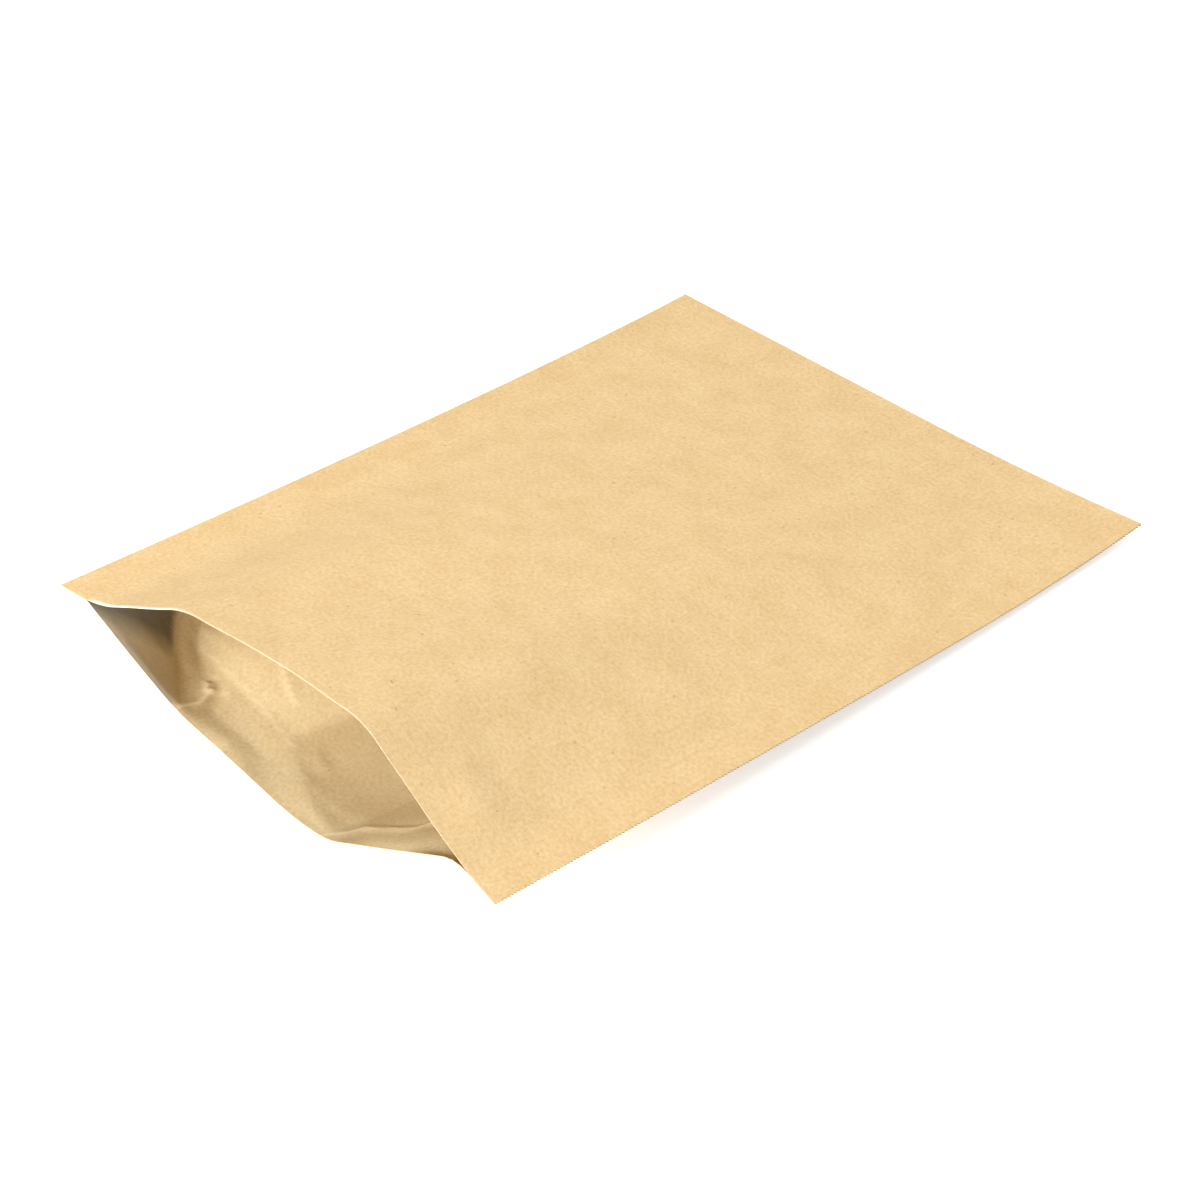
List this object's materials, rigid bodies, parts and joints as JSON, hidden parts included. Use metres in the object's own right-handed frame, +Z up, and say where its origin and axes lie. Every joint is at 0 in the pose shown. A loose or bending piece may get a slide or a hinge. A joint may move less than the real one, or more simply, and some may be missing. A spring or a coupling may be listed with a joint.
{
  "type": "paper mailer bag",
  "caption": "Flat kraft paper mailer bag, folded across its closed end and bonded along both long sides, lying with its mouth open.",
  "frame": {"origin": "centre of the bag's footprint, on the table that it lies on", "axes": "+X across the bag to the pinked edge, +Y from the open mouth to the closed end, +Z up from the table"},
  "size_m": [0.25, 0.353, 0.0607],
  "materials": {
    "kraft_paper": "matt unbleached kraft paper with fine fibres and small dark specks"
  },
  "bodies": {
    "root": {"paper_bag": "kraft_paper"}
  },
  "joints": []
}
